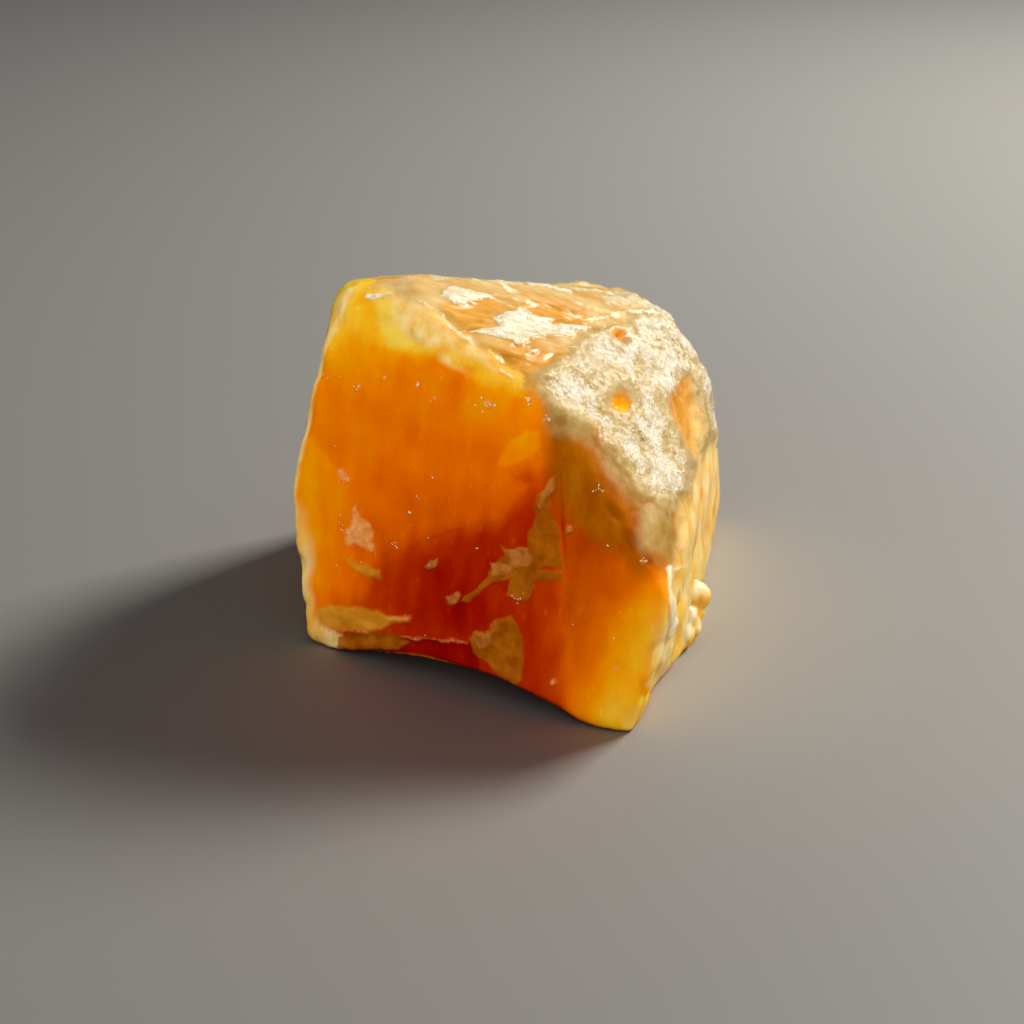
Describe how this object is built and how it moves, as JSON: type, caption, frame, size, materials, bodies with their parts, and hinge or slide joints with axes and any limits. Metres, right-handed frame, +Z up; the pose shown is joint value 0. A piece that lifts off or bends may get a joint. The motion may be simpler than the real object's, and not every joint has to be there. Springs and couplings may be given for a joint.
{
  "type": "calcite specimen",
  "caption": "Rough palm-sized chunk of orange calcite with a pale crusted shoulder, a smooth broken front and a flat underside to stand on, for display or study.",
  "frame": {"origin": "on the table under the middle of the chunk's footprint box, at the level of its flat underside", "axes": "+Z up, -Y towards the viewer who faces the big smooth orange break, +X to that viewer's right"},
  "size_m": [0.0756, 0.0677, 0.0615],
  "materials": {
    "orange_calcite": "Translucent honey-orange calcite with a waxy break, red-orange in its thick middle, and a sugary cream-white crust on the shoulder and top"
  },
  "bodies": {
    "root": {"calcite": "orange_calcite"}
  },
  "joints": []
}
